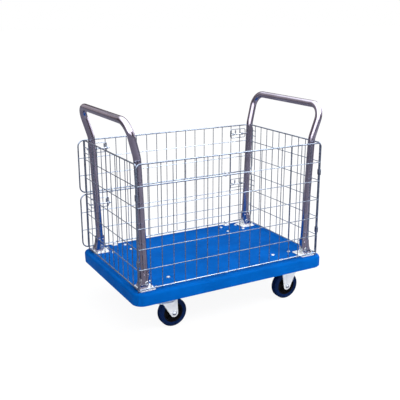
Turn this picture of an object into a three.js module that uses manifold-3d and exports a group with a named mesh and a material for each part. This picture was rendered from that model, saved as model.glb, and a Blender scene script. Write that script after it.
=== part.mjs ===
// A platform cart: a ribbed plastic deck on two swivel and two rigid casters, a U-shaped tube
// handle that folds inward at each end, and a wire cage whose rear side is a drop gate in two
// halves with slide-bolt latches. Millimetres. +X runs along the deck, -Y is the fixed front
// side, +Z is up. The origin is on the floor under the middle of the deck.
import * as THREE from 'three';
import { mergeVertices } from 'three/addons/utils/BufferGeometryUtils.js';
import Module from 'manifold-3d';

const wasm = await Module();
wasm.setup();

// Driving dimensions
const DECK_LENGTH = 900;
const DECK_WIDTH = 600;
const DECK_TOP = 195;
const DECK_HEIGHT = 50;
const DECK_CORNER_RADIUS = 45;
const DECK_EDGE_RADIUS = 10;
const DECK_SKIN = 8;
const TREAD = { halfLength: 240, halfWidth: 255, rise: 0.5 };
const RIB = 6;

const CAGE_LENGTH = 850;
const CAGE_HEIGHT = 491;
const CAGE_BOTTOM = DECK_TOP + 10;
const CAGE_TOP = CAGE_BOTTOM + CAGE_HEIGHT;
const FRONT_PLANE = -275;
const END_PANEL_HALF_WIDTH = 268;
const FRAME_WIRE = 6;
const MESH_WIRE = 3.4;
const LONG_COLUMNS = 17;
const SHORT_COLUMNS = 11;
const CAGE_ROWS = 6;
const PANEL_CORNER = 17;
const POST_DEPTH = 12;

const GATE_PLANE = 281;
const GATE_HALF_LENGTH = 450;
const GATE_BOTTOM = 209;
const GATE_LOWER_TOP = 452;
const GATE_UPPER_BOTTOM = 462;
const GATE_TOP = 694;
const GATE_ROWS = 3;
const GATE_FOLD_AXIS = new THREE.Vector3(0, GATE_PLANE + 5, (GATE_LOWER_TOP + GATE_UPPER_BOTTOM) / 2);
const HINGE_STATION = 300;

const LATCH_HEIGHTS = { upper: 656, lower: 407 };
const LATCH_BOLT_PLANE = 260.9;
const LATCH_BOLT_RADIUS = 3.4;
const LATCH_BOLT_TIP = 418;
const KEEPER_SPACING = 25;

const PIVOT_X = 384;
const PIVOT_Z = DECK_TOP + 25;
const PIVOT_RADIUS = 5;
const POST_Y = 237.5;
const TUBE_RADIUS = 15;
const TUBE_WALL = 1.6;
const GRIP_X = 443;
const GRIP_Y = 250;
const GRIP_Z = 849;
const HANDLE_BEND = { x: 403, z: 711, radius: 130 };
const GRIP_CORNER_RADIUS = 57;

const CASTER_X = 300;
const CASTER_Y = 221;
const CASTER_TRAIL = 40;
const WHEEL_RADIUS = 60;
const WHEEL_WIDTH = 32;
const CORE_RADIUS = 42;
const AXLE_RADIUS = 5;
const FORK_GAP = 40;
const FORK_THICKNESS = 3;
const PLATE = { length: 118, width: 96, thickness: 3.7 };
const PLATE_TOP = DECK_TOP - DECK_HEIGHT - 0.3;
const BOLT_SPACING = { x: 85, y: 67 };
const BOLT_RADIUS = 4;

const GAP = 0.3;
const WHEEL_SIDES = 24;

// Materials
function finish(color, roughness, metalness) {
  return new THREE.MeshStandardMaterial({ color, roughness, metalness });
}

const LOOKS = {
  deck: () => finish(0x0069d2, 0.45, 0),
  tube: () => finish(0x9c949c, 0.3, 1),
  wire: () => finish(0xb4bcc6, 0.35, 1),
  zinc: () => finish(0xc9d3d6, 0.4, 0.9),
  bolt: () => finish(0xb8bfc4, 0.35, 1),
  tyre: () => finish(0x10182c, 0.7, 0),
  core: () => finish(0x0b0b0d, 0.5, 0),
};

// Geometry to solid and back
function toSolid(geometry) {
  const bare = geometry.clone();
  bare.deleteAttribute('normal');
  bare.deleteAttribute('uv');
  const merged = mergeVertices(bare, 1e-4);
  const index = merged.index.array;
  const kept = [];
  for (let i = 0; i < index.length; i += 3) {
    const [a, b, c] = [index[i], index[i + 1], index[i + 2]];
    if (a !== b && b !== c && c !== a) kept.push(a, b, c);
  }
  return new wasm.Manifold(new wasm.Mesh({
    numProp: 3,
    vertProperties: new Float32Array(merged.attributes.position.array),
    triVerts: new Uint32Array(kept),
  }));
}

function toMesh(name, look, solid) {
  const data = solid.getMesh();
  const geometry = new THREE.BufferGeometry();
  geometry.setAttribute('position', new THREE.BufferAttribute(new Float32Array(data.vertProperties), 3));
  geometry.setIndex(new THREE.BufferAttribute(new Uint32Array(data.triVerts), 1));
  geometry.computeVertexNormals();
  const mesh = new THREE.Mesh(geometry, look());
  mesh.name = name;
  return mesh;
}

const joinAll = (solids) => solids.reduce((whole, solid) => whole.add(solid));
const cutAll = (solid, cutters) => cutters.reduce((rest, cutter) => rest.subtract(cutter), solid);

const point = (x, y, z) => new THREE.Vector3(x, y, z);

// A block between two opposite corners
function block(low, high) {
  const size = high.map((value, i) => value - low[i]);
  const geometry = new THREE.BoxGeometry(...size);
  geometry.translate(...low.map((value, i) => value + size[i] / 2));
  return toSolid(geometry);
}

// A straight bar whose flat sides lie at the given radius; on a square bar two of them face Y
function bar(from, to, radius, sides) {
  const along = to.clone().sub(from);
  const flatToCorner = radius / Math.cos(Math.PI / sides);
  const geometry = new THREE.CylinderGeometry(
    flatToCorner, flatToCorner, along.length(), sides, 1, false, Math.PI / sides);
  const axis = along.clone().normalize();
  const aside = axis.clone().cross(Math.abs(axis.y) < 0.9 ? point(0, 1, 0) : point(1, 0, 0)).normalize();
  geometry.applyMatrix4(new THREE.Matrix4().makeBasis(aside, axis, aside.clone().cross(axis)));
  geometry.translate(...from.clone().add(to).multiplyScalar(0.5).toArray());
  return toSolid(geometry);
}

const upright = (x, y, low, high, radius, sides) => bar(point(x, y, low), point(x, y, high), radius, sides);
const across = (x, z, low, high, radius, sides) => bar(point(x, low, z), point(x, high, z), radius, sides);

// A plate whose outline lies in the XZ plane, between two values of Y
function plateXZ(shape, low, high) {
  const geometry = new THREE.ExtrudeGeometry(shape, {
    depth: high - low, bevelEnabled: false, curveSegments: 5,
  });
  geometry.rotateX(Math.PI / 2);
  geometry.translate(0, high, 0);
  return toSolid(geometry);
}

// A plate whose outline lies in the YZ plane, between two values of X
function plateYZ(shape, low, high) {
  const geometry = new THREE.ExtrudeGeometry(shape, {
    depth: high - low, bevelEnabled: false, curveSegments: 10,
  });
  geometry.applyMatrix4(new THREE.Matrix4().makeBasis(point(0, 1, 0), point(0, 0, 1), point(1, 0, 0)));
  geometry.translate(low, 0, 0);
  return toSolid(geometry);
}

// A ring turned about an axle along Y; the profile is a closed loop of [radius, y]
function wheelRing(profile, x, y, z) {
  const corner = 1 / Math.cos(Math.PI / WHEEL_SIDES);
  const loop = [...profile, profile[0]].map(([radius, side]) => new THREE.Vector2(radius * corner, side));
  const geometry = new THREE.LatheGeometry(loop, WHEEL_SIDES, Math.PI / WHEEL_SIDES);
  geometry.translate(x, y, z);
  return toSolid(geometry);
}

function roundedRectangle(length, width, radius) {
  const [x, y] = [length / 2 - radius, width / 2 - radius];
  const shape = new THREE.Shape();
  shape.absarc(x, y, radius, 0, Math.PI / 2);
  shape.absarc(-x, y, radius, Math.PI / 2, Math.PI);
  shape.absarc(-x, -y, radius, Math.PI, 1.5 * Math.PI);
  shape.absarc(x, -y, radius, 1.5 * Math.PI, 2 * Math.PI);
  shape.closePath();
  return shape;
}

const boltPlaces = (x, y) => [-1, 1].flatMap((i) => [-1, 1].map(
  (j) => [x + i * BOLT_SPACING.x / 2, y + j * BOLT_SPACING.y / 2]));
const SIDES = { left: -1, right: 1 };
const DEPTHS = { front: -1, rear: 1 };

// Deck
const BRACKET = { inner: PIVOT_X - 32, outer: PIVOT_X + 34, halfWidth: 38, thickness: 3 };
const LIP = { gap: 0.4, thickness: 3, halfWidth: 18, top: PIVOT_Z - 12 };
const STUD = {
  inner: PIVOT_X - 14, outer: PIVOT_X + 25, spread: 26, radius: 3, depth: 14, head: 6, headHeight: 3, hole: 3.4,
};
const bracketStuds = (side, depth) => [STUD.inner, STUD.outer].flatMap((x) => [-1, 1].map(
  (j) => [side * x, depth * POST_Y + j * STUD.spread]));

// Cells of one band of ribs, as even pockets between two limits
function cells(low, high, count) {
  const pitch = (high - low + RIB) / count;
  return Array.from({ length: count }, (_, i) => [low + i * pitch, low + (i + 1) * pitch - RIB]);
}

function underside() {
  const bottom = DECK_TOP - DECK_HEIGHT;
  const bands = [
    [cells(-234, 234, 5), cells(-294, 294, 7)],
    [cells(-360, -240, 2), cells(-162, 162, 4)],
    [cells(240, 360, 2), cells(-162, 162, 4)],
    [cells(-444, -366, 1), cells(-222, 222, 5)],
    [cells(366, 444, 1), cells(-222, 222, 5)],
  ];
  return bands.flatMap(([columns, rows]) => columns.flatMap(([x0, x1]) => rows.map(
    ([y0, y1]) => block([x0, y0, bottom - 1], [x1, y1, DECK_TOP - DECK_SKIN]))));
}

function deckSockets() {
  const reach = FRAME_WIRE / 2 + 1.2;
  const floor = DECK_TOP - POST_DEPTH;
  return Object.values(SIDES).flatMap((side) => {
    const x = side * CAGE_LENGTH / 2;
    const socket = (front, back) => block(
      [x - reach, front - reach, floor], [x + reach, back + reach, DECK_TOP + 1]);
    return [
      socket(FRONT_PLANE, -END_PANEL_HALF_WIDTH),
      socket(END_PANEL_HALF_WIDTH, END_PANEL_HALF_WIDTH),
    ];
  });
}

function deckHoles() {
  const holes = [];
  for (const side of Object.values(SIDES)) {
    for (const depth of Object.values(DEPTHS)) {
      for (const [x, y] of boltPlaces(side * CASTER_X, depth * CASTER_Y)) {
        holes.push(upright(x, y, DECK_TOP - DECK_HEIGHT - 1, DECK_TOP + 1, BOLT_RADIUS + 0.4, 6));
      }
      for (const [x, y] of bracketStuds(side, depth)) {
        holes.push(upright(x, y, DECK_TOP - STUD.depth - 2, DECK_TOP + 1, STUD.hole, 6));
      }
    }
  }
  return holes;
}

function deck() {
  const shape = roundedRectangle(DECK_LENGTH, DECK_WIDTH, DECK_CORNER_RADIUS);
  const geometry = new THREE.ExtrudeGeometry(shape, {
    depth: DECK_HEIGHT,
    bevelThickness: DECK_EDGE_RADIUS,
    bevelSize: DECK_EDGE_RADIUS,
    bevelOffset: -DECK_EDGE_RADIUS,
    bevelSegments: 2,
    curveSegments: 4,
  });
  geometry.translate(0, 0, DECK_TOP - DECK_EDGE_RADIUS - DECK_HEIGHT);
  const below = block([-DECK_LENGTH, -DECK_WIDTH, 0], [DECK_LENGTH, DECK_WIDTH, DECK_TOP - DECK_HEIGHT]);
  const body = cutAll(toSolid(geometry), [below, ...underside(), ...deckSockets(), ...deckHoles()]);
  const tread = block(
    [-TREAD.halfLength, -TREAD.halfWidth, DECK_TOP - 1],
    [TREAD.halfLength, TREAD.halfWidth, DECK_TOP + TREAD.rise]);
  return body.add(tread);
}

// Casters
function mountingPlate(x, y) {
  const geometry = new THREE.ExtrudeGeometry(roundedRectangle(PLATE.length, PLATE.width, 12), {
    depth: PLATE.thickness, bevelEnabled: false, curveSegments: 3,
  });
  geometry.translate(x, y, PLATE_TOP - PLATE.thickness);
  const bolts = boltPlaces(x, y).flatMap(([bx, by]) => [
    upright(bx, by, PLATE_TOP - 1, DECK_TOP + 2, BOLT_RADIUS, 6),
    upright(bx, by, DECK_TOP + GAP, DECK_TOP + 4, 7, 6),
  ]);
  return joinAll([toSolid(geometry), ...bolts]);
}

const CROWN_TOP = 132.5;
const CROWN_FLANGE = { radius: 56, low: 123, high: 126 };

// The swivel caster's top plate with its dished upper race and riveted kingpin
function swivelPlate(x, y) {
  const under = PLATE_TOP - PLATE.thickness;
  return joinAll([
    mountingPlate(x, y),
    upright(x, y, CROWN_TOP + 0.5, under + 1, 40, 18),
    upright(x, y, CROWN_FLANGE.low - 3, under, 7, 12),
    upright(x, y, CROWN_FLANGE.low - 4.5, CROWN_FLANGE.low - 0.5, 12, 12),
  ]);
}

// Both legs of a fork, from one outline measured from the axle
function forkLegs(outline, axleX, y) {
  const shape = outline(axleX);
  const inner = FORK_GAP / 2;
  const outer = inner + FORK_THICKNESS;
  const hole = across(axleX, WHEEL_RADIUS, y - outer - 1, y + outer + 1, AXLE_RADIUS + GAP, 10);
  const legs = [plateXZ(shape, y - outer, y - inner), plateXZ(shape, y + inner, y + outer)];
  return joinAll(legs).subtract(hole);
}

function swivelLeg(axleX) {
  const shape = new THREE.Shape();
  shape.moveTo(axleX + 14, CROWN_FLANGE.low + 1.5);
  shape.lineTo(axleX - 58, CROWN_FLANGE.low + 1.5);
  shape.absarc(axleX, WHEEL_RADIUS, 17, 1.14 * Math.PI, 2 * Math.PI);
  shape.closePath();
  return shape;
}

function rigidLeg(axleX) {
  const shape = new THREE.Shape();
  shape.moveTo(axleX + 58, PLATE_TOP - 1);
  shape.lineTo(axleX - 30, PLATE_TOP - 1);
  shape.absarc(axleX, WHEEL_RADIUS, 17, Math.PI, 1.85 * Math.PI);
  shape.closePath();
  return shape;
}

function swivelFork(x, y) {
  const crown = joinAll([
    upright(x, y, CROWN_FLANGE.low, CROWN_FLANGE.high, CROWN_FLANGE.radius, 24),
    upright(x, y, CROWN_FLANGE.high - 1, CROWN_TOP, 42, 18),
  ]);
  const bore = upright(x, y, CROWN_FLANGE.low - 1, CROWN_TOP + 1, 7.6, 12);
  return crown.add(forkLegs(swivelLeg, x + CASTER_TRAIL, y)).subtract(bore);
}

function rigidFork(x, y) {
  return mountingPlate(x, y).add(forkLegs(rigidLeg, x, y));
}

const AXLE_HEAD = { radius: 8.5, thickness: 5 };
const AXLE_HALF_LENGTH = 31;
const AXLE_NUT_THICKNESS = 6;

// The axle bolt's head is on the outer side of the cart, its nut on the inner side
function axleBolt(x, y, outward) {
  const face = FORK_GAP / 2 + FORK_THICKNESS + GAP;
  const headEnd = face + AXLE_HEAD.thickness;
  return joinAll([
    across(x, WHEEL_RADIUS, y - AXLE_HALF_LENGTH, y + AXLE_HALF_LENGTH, AXLE_RADIUS, 12),
    across(x, WHEEL_RADIUS, y + outward * face, y + outward * headEnd, AXLE_HEAD.radius, 6),
  ]);
}

function axleNut(x, y, outward) {
  const face = FORK_GAP / 2 + FORK_THICKNESS + GAP;
  const nutEnd = face + AXLE_NUT_THICKNESS;
  const nut = across(x, WHEEL_RADIUS, y - outward * face, y - outward * nutEnd, AXLE_HEAD.radius, 6);
  return nut.subtract(across(x, WHEEL_RADIUS, y - nutEnd - 1, y + nutEnd + 1, AXLE_RADIUS + GAP, 12));
}

function tyre(x, y) {
  const half = WHEEL_WIDTH / 2;
  const inner = CORE_RADIUS + GAP;
  return wheelRing([
    [inner, -half + 1], [WHEEL_RADIUS - 4, -half], [WHEEL_RADIUS, -half + 6],
    [WHEEL_RADIUS, half - 6], [WHEEL_RADIUS - 4, half], [inner, half - 1],
  ], x, y, WHEEL_RADIUS);
}

function wheelCore(x, y) {
  const bore = AXLE_RADIUS + GAP;
  const boss = FORK_GAP / 2 - 1;
  return wheelRing([
    [bore, -boss], [15, -boss], [17, -6], [CORE_RADIUS, -13],
    [CORE_RADIUS, 13], [17, 6], [15, boss], [bore, boss],
  ], x, y, WHEEL_RADIUS);
}

// Folding handles
function roundedPath(corners) {
  const path = [corners[0].at];
  for (let i = 1; i < corners.length - 1; i += 1) {
    const { at, radius, steps } = corners[i];
    const back = corners[i - 1].at.clone().sub(at).normalize();
    const ahead = corners[i + 1].at.clone().sub(at).normalize();
    const half = back.angleTo(ahead) / 2;
    const centre = back.clone().add(ahead).normalize().multiplyScalar(radius / Math.sin(half)).add(at);
    const start = back.clone().multiplyScalar(radius / Math.tan(half)).add(at).sub(centre);
    const normal = back.clone().cross(ahead).normalize();
    for (let k = 0; k <= steps; k += 1) {
      const turn = -(Math.PI - 2 * half) * k / steps;
      path.push(start.clone().applyAxisAngle(normal, turn).add(centre));
    }
  }
  path.push(corners.at(-1).at);
  return path;
}

// A curve whose even parameter steps fall on the given points
class PointPath extends THREE.Curve {
  constructor(points) {
    super();
    this.points = points;
  }

  getPoint(t) {
    const place = t * (this.points.length - 1);
    const i = Math.min(Math.floor(place), this.points.length - 2);
    return this.points[i].clone().lerp(this.points[i + 1], place - i);
  }

  getPointAt(t) {
    return this.getPoint(t);
  }

  getTangentAt(t) {
    const step = 0.5 / (this.points.length - 1);
    return this.getPoint(Math.min(t + step, 1)).sub(this.getPoint(Math.max(t - step, 0))).normalize();
  }
}

function sweep(points, radius, sides) {
  const section = new THREE.Shape();
  for (let i = 0; i < sides; i += 1) {
    const angle = 2 * Math.PI * (i + 0.5) / sides;
    const corner = [radius * Math.cos(angle), radius * Math.sin(angle)];
    if (i === 0) section.moveTo(...corner);
    else section.lineTo(...corner);
  }
  section.closePath();
  return toSolid(new THREE.ExtrudeGeometry(section, {
    steps: points.length - 1, extrudePath: new PointPath(points), curveSegments: 1,
  }));
}

const FOOT_SOLE = DECK_TOP + GAP + BRACKET.thickness + GAP;
const FOOT = {
  heel: PIVOT_Z - FOOT_SOLE,
  back: 19,
  toe: 35.9,
  top: PIVOT_Z + 46,
  flare: 34,
  plate: 3,
  webBottom: PIVOT_Z + 16,
};

function handleCorners(side, drop) {
  const foot = PIVOT_Z + 14 - drop;
  return [
    { at: point(side * PIVOT_X, -POST_Y, foot) },
    { at: point(side * HANDLE_BEND.x, -POST_Y, HANDLE_BEND.z), radius: HANDLE_BEND.radius, steps: 2 },
    { at: point(side * GRIP_X, -GRIP_Y, GRIP_Z), radius: GRIP_CORNER_RADIUS, steps: 5 },
    { at: point(side * GRIP_X, GRIP_Y, GRIP_Z), radius: GRIP_CORNER_RADIUS, steps: 5 },
    { at: point(side * HANDLE_BEND.x, POST_Y, HANDLE_BEND.z), radius: HANDLE_BEND.radius, steps: 2 },
    { at: point(side * PIVOT_X, POST_Y, foot) },
  ];
}

function handleTube(side) {
  const outer = sweep(roundedPath(handleCorners(side, 0)), TUBE_RADIUS, 10);
  const bore = sweep(roundedPath(handleCorners(side, 2)), TUBE_RADIUS - TUBE_WALL, 8);
  return outer.subtract(bore);
}

// The channel under each post: two flanges that flare outward towards the deck, and a web on the
// inner side that stops above the pivot, so that the channel can turn down over its bracket. The
// heel and the toe are arcs about the pivot. The toe rests on the bracket and keeps the post upright.
function handleFoot(side, y) {
  const inner = TUBE_RADIUS + GAP;
  const outer = inner + FOOT.plate;
  const shape = new THREE.Shape();
  const onPivot = (radius, angle) => [
    side * (PIVOT_X + radius * Math.cos(angle)), PIVOT_Z + radius * Math.sin(angle)];
  const heelStart = -Math.acos(-FOOT.back / FOOT.heel);
  const toeStart = -Math.asin(FOOT.heel / FOOT.toe);
  const toeEnd = -Math.acos(FOOT.flare / FOOT.toe);
  shape.moveTo(side * (PIVOT_X - FOOT.back), FOOT.top);
  for (let k = 0; k <= 5; k += 1) {
    shape.lineTo(...onPivot(FOOT.heel, heelStart + (-Math.PI / 2 - heelStart) * k / 5));
  }
  for (let k = 0; k <= 3; k += 1) {
    shape.lineTo(...onPivot(FOOT.toe, toeStart + (toeEnd - toeStart) * k / 3));
  }
  shape.lineTo(side * (PIVOT_X + outer), FOOT.top);
  shape.closePath();
  const past = side * (PIVOT_X + 60);
  const between = (from, to, low) => block(
    [Math.min(from, to), y - inner, low], [Math.max(from, to), y + inner, FOOT.top + 1]);
  const hollow = between(side * (PIVOT_X - FOOT.back + FOOT.plate), past, PIVOT_Z - 40);
  const underWeb = block(
    [Math.min(side * (PIVOT_X - 30), past), y - inner, PIVOT_Z - 40],
    [Math.max(side * (PIVOT_X - 30), past), y + inner, FOOT.webBottom]);
  const pinHole = across(side * PIVOT_X, PIVOT_Z, y - 30, y + 30, PIVOT_RADIUS + GAP, 12);
  return cutAll(plateXZ(shape, y - outer, y + outer), [hollow, underWeb, pinHole]);
}

const CHEEK = { inner: TUBE_RADIUS - 3.6, outer: TUBE_RADIUS - 0.6, radius: 10.5 };

function pivotBracket(side, depth) {
  const y = depth * POST_Y;
  const bottom = DECK_TOP + GAP;
  const top = bottom + BRACKET.thickness;
  const lipEnd = BRACKET.outer + LIP.gap + LIP.thickness;
  const spanX = [side * BRACKET.inner, side * lipEnd].sort((a, b) => a - b);
  const base = block([spanX[0], y - BRACKET.halfWidth, bottom], [spanX[1], y + BRACKET.halfWidth, top]);
  const cheek = new THREE.Shape();
  cheek.moveTo(side * PIVOT_X - CHEEK.radius, top - 1);
  cheek.lineTo(side * PIVOT_X + CHEEK.radius, top - 1);
  cheek.absarc(side * PIVOT_X, PIVOT_Z, CHEEK.radius, 0, Math.PI);
  cheek.closePath();
  const lipX = [side * (BRACKET.outer + LIP.gap), side * lipEnd].sort((a, b) => a - b);
  const lip = block([lipX[0], y - LIP.halfWidth, bottom], [lipX[1], y + LIP.halfWidth, LIP.top]);
  const cheeks = [-1, 1].map((j) => {
    const faces = [y + j * CHEEK.inner, y + j * CHEEK.outer].sort((a, b) => a - b);
    return plateXZ(cheek, ...faces);
  });
  const studs = bracketStuds(side, depth).flatMap(([x, sy]) => [
    upright(x, sy, DECK_TOP - STUD.depth, top, STUD.radius, 6),
    upright(x, sy, top - 1, top + STUD.headHeight, STUD.head, 6),
  ]);
  const pinHole = across(side * PIVOT_X, PIVOT_Z, y - 30, y + 30, PIVOT_RADIUS + GAP, 12);
  return joinAll([base, lip, ...cheeks, ...studs]).subtract(pinHole);
}

function pivotPin(side, y) {
  const face = TUBE_RADIUS + FOOT.plate + 2 * GAP;
  return joinAll([
    across(side * PIVOT_X, PIVOT_Z, y - face - 3, y + face + 3, PIVOT_RADIUS, 12),
    across(side * PIVOT_X, PIVOT_Z, y - face - 3, y - face, 8, 12),
    across(side * PIVOT_X, PIVOT_Z, y + face, y + face + 3, 8, 12),
  ]);
}

// Wire panels. A panel's own frame has u along it and w out of its plane.
function wirePanel({ place, outline, verticals, horizontals, extra = [] }) {
  const frameBars = outline.map(([u, z], i) => {
    const [nextU, nextZ] = outline[(i + 1) % outline.length];
    const [from, to] = [place(u, 0, z), place(nextU, 0, nextZ)];
    const overrun = to.clone().sub(from).setLength(1.1);
    return bar(from.sub(overrun), to.add(overrun), FRAME_WIRE / 2, 4);
  });
  const layer = MESH_WIRE + GAP;
  const uprights = verticals.map(
    ({ u, low, high }) => bar(place(u, 0, low), place(u, 0, high), MESH_WIRE / 2, 4));
  const rails = horizontals.map(
    ({ z, low, high }) => bar(place(low, layer, z), place(high, layer, z), MESH_WIRE / 2, 4));
  return joinAll([...frameBars, ...uprights, ...rails, ...extra]);
}

function chamferedOutline(halfLength, low, high, lowerCorner, upperCorner) {
  const points = [];
  for (const [side, z, inward, corner] of [
    [-1, low, 1, lowerCorner], [1, low, 1, lowerCorner],
    [1, high, -1, upperCorner], [-1, high, -1, upperCorner],
  ]) {
    const along = [side * (halfLength - corner), z];
    const beside = [side * halfLength, z + inward * corner];
    if (corner === 0) points.push([side * halfLength, z]);
    else if (side * inward < 0) points.push(beside, along);
    else points.push(along, beside);
  }
  return points;
}

const evenly = (low, high, count) => Array.from(
  { length: count - 1 }, (_, i) => low + (high - low) * (i + 1) / count);
const spans = (places, key, low, high) => places.map((value) => ({ [key]: value, low, high }));

// The two wires of a fixed panel that go down into the deck's sockets
function panelPosts(place, halfLength) {
  return [-1, 1].map((side) => {
    const foot = place(side * halfLength, 0, DECK_TOP - POST_DEPTH + GAP);
    return bar(foot, place(side * halfLength, 0, CAGE_BOTTOM), FRAME_WIRE / 2, 4);
  });
}

function frontPanel() {
  const half = CAGE_LENGTH / 2;
  const place = (u, w, z) => point(u, FRONT_PLANE - w, z);
  return wirePanel({
    place,
    outline: chamferedOutline(half, CAGE_BOTTOM, CAGE_TOP, 0, PANEL_CORNER),
    verticals: spans(evenly(-half, half, LONG_COLUMNS), 'u', CAGE_BOTTOM, CAGE_TOP),
    horizontals: spans(evenly(CAGE_BOTTOM, CAGE_TOP, CAGE_ROWS), 'z', -half, half),
    extra: panelPosts(place, half),
  });
}

function endPanel(side) {
  const half = END_PANEL_HALF_WIDTH;
  const place = (u, w, z) => point(side * (CAGE_LENGTH / 2 + w), u, z);
  const firstVertical = half - 2 * half / SHORT_COLUMNS;
  const keepers = Object.values(LATCH_HEIGHTS).flatMap(
    (z) => spans([z - KEEPER_SPACING / 2, z + KEEPER_SPACING / 2], 'z', firstVertical, half));
  return wirePanel({
    place,
    outline: chamferedOutline(half, CAGE_BOTTOM, CAGE_TOP, 0, 0),
    verticals: spans(evenly(-half, half, SHORT_COLUMNS), 'u', CAGE_BOTTOM, CAGE_TOP),
    horizontals: [...spans(evenly(CAGE_BOTTOM, CAGE_TOP, CAGE_ROWS), 'z', -half, half), ...keepers],
    extra: panelPosts(place, half),
  });
}

function gateHalf(low, high) {
  const half = CAGE_LENGTH / 2;
  return wirePanel({
    place: (u, w, z) => point(u, GATE_PLANE - w, z),
    outline: chamferedOutline(GATE_HALF_LENGTH, low, high, PANEL_CORNER, PANEL_CORNER),
    verticals: spans([-half, ...evenly(-half, half, LONG_COLUMNS), half], 'u', low, high),
    horizontals: spans(evenly(low, high, GATE_ROWS), 'z', -GATE_HALF_LENGTH, GATE_HALF_LENGTH),
  });
}

// The strap that holds the front panel's end wire to the end panel's front wire
function cornerClip(side, z) {
  const x = side * CAGE_LENGTH / 2;
  const [front, back] = [FRONT_PLANE - 3.7, -END_PANEL_HALF_WIDTH + 3.7];
  const strap = block([x - 5.4, front - 1.8, z - 12], [x + 5.4, back + 1.8, z + 12]);
  return strap.subtract(block([x - 3.7, front, z - 13], [x + 3.7, back, z + 13]));
}

// Gate hinges
function ringShape(y, z, outer, inner) {
  const shape = new THREE.Shape();
  shape.absarc(y, z, outer, 0, 2 * Math.PI);
  const hole = new THREE.Path();
  hole.absarc(y, z, inner, 0, 2 * Math.PI);
  shape.holes.push(hole);
  return shape;
}

function foldRing(side) {
  const x = side * HINGE_STATION;
  return plateYZ(ringShape(GATE_FOLD_AXIS.y, GATE_FOLD_AXIS.z, 13.8, 11.9), x - 2.5, x + 2.5);
}

// A saddle on the deck that the gate's bottom wire turns in
function gateEye(side) {
  const x = side * HINGE_STATION;
  const ring = plateYZ(ringShape(GATE_PLANE, GATE_BOTTOM, 8, 4.8), x - 6, x + 6);
  const stem = block([x - 6, GATE_PLANE - 4, DECK_TOP + GAP], [x + 6, GATE_PLANE + 4, GATE_BOTTOM - 5.6]);
  const base = block([x - 14, GATE_PLANE - 16, DECK_TOP + GAP], [x + 14, GATE_PLANE + 7, DECK_TOP + 3]);
  return joinAll([ring, stem, base]);
}

// Slide-bolt latches. A wire loop on the gate carries two guides; the bolt slides through them.
const LATCH = {
  inner: 320, outer: 404, halfHeight: 21, guides: [325, 375], guideHalf: 4, guideWall: 5.2, guideHeight: 7,
  wire: MESH_WIRE, tail: 312, knob: 338, knobHeight: 22,
};
const LATCH_PLANE = GATE_PLANE - MESH_WIRE - GAP;

function latchFrame(side, z) {
  const radius = LATCH.wire / 2;
  const corners = [
    [LATCH.inner, -LATCH.halfHeight], [LATCH.outer, -LATCH.halfHeight],
    [LATCH.outer, LATCH.halfHeight], [LATCH.inner, LATCH.halfHeight],
  ].map(([x, dz]) => point(side * x, LATCH_PLANE, z + dz));
  const loop = corners.map((from, i) => {
    const to = corners[(i + 1) % corners.length];
    const overrun = to.clone().sub(from).setLength(radius);
    return bar(from.clone().sub(overrun), to.clone().add(overrun), radius, 4);
  });
  const guides = LATCH.guides.flatMap((x) => [
    upright(side * x, LATCH_PLANE, z - LATCH.halfHeight, z + LATCH.halfHeight, radius, 4),
    block(
      [side * x - LATCH.guideHalf, LATCH_BOLT_PLANE - LATCH.guideWall, z - LATCH.guideHeight],
      [side * x + LATCH.guideHalf, LATCH_PLANE + 1, z + LATCH.guideHeight]),
  ]);
  const boltLine = (x) => point(side * x, LATCH_BOLT_PLANE, z);
  const bore = bar(boltLine(LATCH.tail), boltLine(LATCH.outer), LATCH_BOLT_RADIUS + GAP, 8);
  return joinAll([...loop, ...guides]).subtract(bore);
}

function latchBolt(side, z) {
  const boltLine = (x) => point(side * x, LATCH_BOLT_PLANE, z);
  return joinAll([
    bar(boltLine(LATCH.tail), boltLine(LATCH_BOLT_TIP), LATCH_BOLT_RADIUS, 8),
    upright(side * LATCH.knob, LATCH_BOLT_PLANE, z, z + LATCH.knobHeight, 3, 6),
  ]);
}

// Assembly
const cart = new THREE.Group();
const add = (name, look, solid) => cart.add(toMesh(name, look, solid));

add('deck', LOOKS.deck, deck());
for (const [depthName, depth] of Object.entries(DEPTHS)) {
  for (const [sideName, side] of Object.entries(SIDES)) {
    const spot = `${depthName}_${sideName}`;
    const [x, y] = [side * CASTER_X, depth * CASTER_Y];
    const swivels = side < 0;
    const axleX = swivels ? x + CASTER_TRAIL : x;
    if (swivels) add(`caster_plate_${spot}`, LOOKS.zinc, swivelPlate(x, y));
    add(`caster_fork_${spot}`, LOOKS.zinc, swivels ? swivelFork(x, y) : rigidFork(x, y));
    add(`axle_bolt_${spot}`, LOOKS.bolt, axleBolt(axleX, y, depth));
    add(`axle_nut_${spot}`, LOOKS.bolt, axleNut(axleX, y, depth));
    add(`wheel_core_${spot}`, LOOKS.core, wheelCore(axleX, y));
    add(`tyre_${spot}`, LOOKS.tyre, tyre(axleX, y));
    add(`pivot_bracket_${spot}`, LOOKS.zinc, pivotBracket(side, depth));
    add(`pivot_pin_${spot}`, LOOKS.bolt, pivotPin(side, depth * POST_Y));
    add(`handle_foot_${spot}`, LOOKS.tube, handleFoot(side, depth * POST_Y));
  }
}
for (const [sideName, side] of Object.entries(SIDES)) {
  add(`handle_tube_${sideName}`, LOOKS.tube, handleTube(side));
  add(`cage_end_panel_${sideName}`, LOOKS.wire, endPanel(side));
  add(`corner_clip_upper_${sideName}`, LOOKS.zinc, cornerClip(side, 570));
  add(`corner_clip_lower_${sideName}`, LOOKS.zinc, cornerClip(side, 312));
  add(`gate_fold_ring_${sideName}`, LOOKS.zinc, foldRing(side));
  add(`gate_hinge_eye_${sideName}`, LOOKS.zinc, gateEye(side));
  for (const [level, z] of Object.entries(LATCH_HEIGHTS)) {
    add(`latch_frame_${level}_${sideName}`, LOOKS.wire, latchFrame(side, z));
    add(`latch_bolt_${level}_${sideName}`, LOOKS.bolt, latchBolt(side, z));
  }
}
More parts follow.
